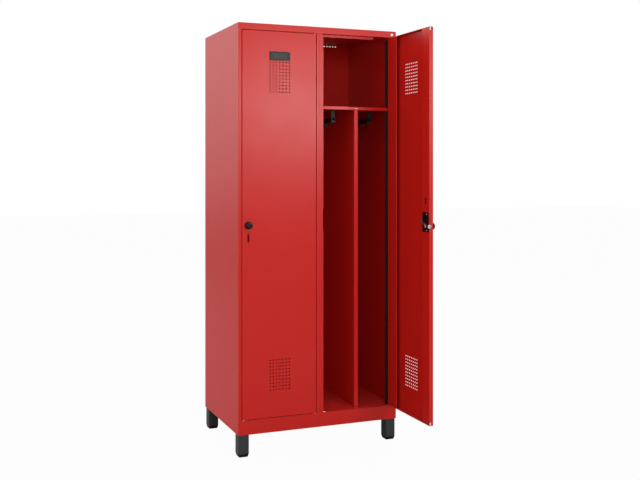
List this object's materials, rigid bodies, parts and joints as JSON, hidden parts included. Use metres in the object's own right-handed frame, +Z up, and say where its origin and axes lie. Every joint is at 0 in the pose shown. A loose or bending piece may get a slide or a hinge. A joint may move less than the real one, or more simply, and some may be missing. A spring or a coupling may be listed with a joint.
{
  "type": "school locker",
  "caption": "Free-standing steel cloakroom locker with perforated hinged doors, turn-knob locks, hat shelves, divided hanging spaces and coat rails, on square legs.",
  "frame": {"origin": "on the floor, under the middle of the body's width and depth, with the open door left out", "axes": "+Z up, the front with the doors faces -Y, +X to the right as seen from the front"},
  "size_m": [0.803, 0.8545, 1.95],
  "materials": {
    "red_powder_coat": "satin powder coat with a fine texture",
    "anthracite_coat": "satin powder coat",
    "black_coat": "semi-matt black coat",
    "black_plastic": "fine-grained moulding",
    "zinc_steel": "zinc plated",
    "white_plastic": "smooth moulding",
    "black_rubber": "matt extrusion",
    "grey_card": "matt printed card, blank"
  },
  "bodies": {
    "root": {"back_panel": "red_powder_coat", "base_frame": "red_powder_coat", "bottom_panel": "red_powder_coat", "edge_trims": "black_rubber", "foot_caps": "black_plastic", "front_left_leg": "anthracite_coat", "front_right_leg": "anthracite_coat", "hinge_brackets": "zinc_steel", "hinge_screw": "zinc_steel", "hinge_washers": "zinc_steel", "left_center_partition": "red_powder_coat", "left_coat_hooks": "black_coat", "left_coat_rails": "black_coat", "left_divider": "red_powder_coat", "left_hat_shelf": "red_powder_coat", "left_side_panel": "red_powder_coat", "leg_bolts": "zinc_steel", "rail_screws": "zinc_steel", "rear_left_leg": "anthracite_coat", "rear_right_leg": "anthracite_coat", "right_center_partition": "red_powder_coat", "right_coat_hooks": "black_coat", "right_coat_rails": "black_coat", "right_divider": "red_powder_coat", "right_hat_shelf": "red_powder_coat", "right_side_panel": "red_powder_coat", "shelf_rivets": "zinc_steel", "top_panel": "red_powder_coat"},
    "left_door": {"left_door_skin": "red_powder_coat", "left_hinge_channel": "red_powder_coat", "left_lock_channel": "red_powder_coat", "left_hinge_pins": "zinc_steel", "left_card_holder": "black_plastic", "left_name_card": "grey_card", "left_lock_case": "black_plastic", "left_lock_screws": "zinc_steel", "left_rod_guides": "white_plastic"},
    "left_knob": {"left_knob": "black_plastic", "left_knob_spindle": "zinc_steel", "left_lock_cam": "zinc_steel"},
    "left_upper_rod": {"left_upper_rod": "zinc_steel"},
    "left_lower_rod": {"left_lower_rod": "zinc_steel"},
    "left_latch_bolt": {"left_latch_bolt": "zinc_steel"},
    "right_door": {"right_door_skin": "red_powder_coat", "right_hinge_channel": "red_powder_coat", "right_lock_channel": "red_powder_coat", "right_hinge_pins": "zinc_steel", "right_card_holder": "black_plastic", "right_name_card": "grey_card", "right_lock_case": "black_plastic", "right_lock_screws": "zinc_steel", "right_rod_guides": "white_plastic"},
    "right_knob": {"right_knob": "black_plastic", "right_knob_spindle": "zinc_steel", "right_lock_cam": "zinc_steel"},
    "right_upper_rod": {"right_upper_rod": "zinc_steel"},
    "right_lower_rod": {"right_lower_rod": "zinc_steel"},
    "right_latch_bolt": {"right_latch_bolt": "zinc_steel"}
  },
  "joints": [
    {"name": "left_door", "type": "hinge", "parent": "root", "child": "left_door", "pos_m": [-0.023, -0.245, 1.04], "axis": [0, 0, 1], "range_deg": [0, 105]},
    {"name": "left_knob_turn", "type": "hinge", "parent": "left_door", "child": "left_knob", "pos_m": [-0.3525, -0.25, 1.04], "axis": [0, 1, 0], "range_deg": [0, 90]},
    {"name": "left_upper_rod_slide", "type": "slide", "parent": "left_door", "child": "left_upper_rod", "axis": [0, 0, 1], "range_m": [0, 0.015]},
    {"name": "left_lower_rod_slide", "type": "slide", "parent": "left_door", "child": "left_lower_rod", "axis": [0, 0, -1], "range_m": [0, 0.015]},
    {"name": "left_latch_bolt_slide", "type": "slide", "parent": "left_door", "child": "left_latch_bolt", "axis": [-1, 0, 0], "range_m": [0, 0.01]},
    {"name": "right_door", "type": "hinge", "parent": "root", "child": "right_door", "pos_m": [0.377, -0.245, 1.04], "axis": [0, 0, 1], "range_deg": [-90, 15]},
    {"name": "right_knob_turn", "type": "hinge", "parent": "right_door", "child": "right_knob", "pos_m": [0.382, -0.5745, 1.04], "axis": [-1, 0, 0], "range_deg": [0, 90]},
    {"name": "right_upper_rod_slide", "type": "slide", "parent": "right_door", "child": "right_upper_rod", "axis": [0, 0, 1], "range_m": [0, 0.015]},
    {"name": "right_lower_rod_slide", "type": "slide", "parent": "right_door", "child": "right_lower_rod", "axis": [0, 0, -1], "range_m": [0, 0.015]},
    {"name": "right_latch_bolt_slide", "type": "slide", "parent": "right_door", "child": "right_latch_bolt", "axis": [0, -1, 0], "range_m": [0, 0.01]}
  ],
  "couplings": [
    {"joint": "left_knob_turn", "follows": "left_upper_rod_slide", "rad_per_m": 104.7},
    {"joint": "left_lower_rod_slide", "follows": "left_upper_rod_slide", "ratio": 1},
    {"joint": "left_latch_bolt_slide", "follows": "left_upper_rod_slide", "ratio": 0.6666},
    {"joint": "right_knob_turn", "follows": "right_upper_rod_slide", "rad_per_m": 104.7},
    {"joint": "right_lower_rod_slide", "follows": "right_upper_rod_slide", "ratio": 1},
    {"joint": "right_latch_bolt_slide", "follows": "right_upper_rod_slide", "ratio": 0.6666}
  ]
}
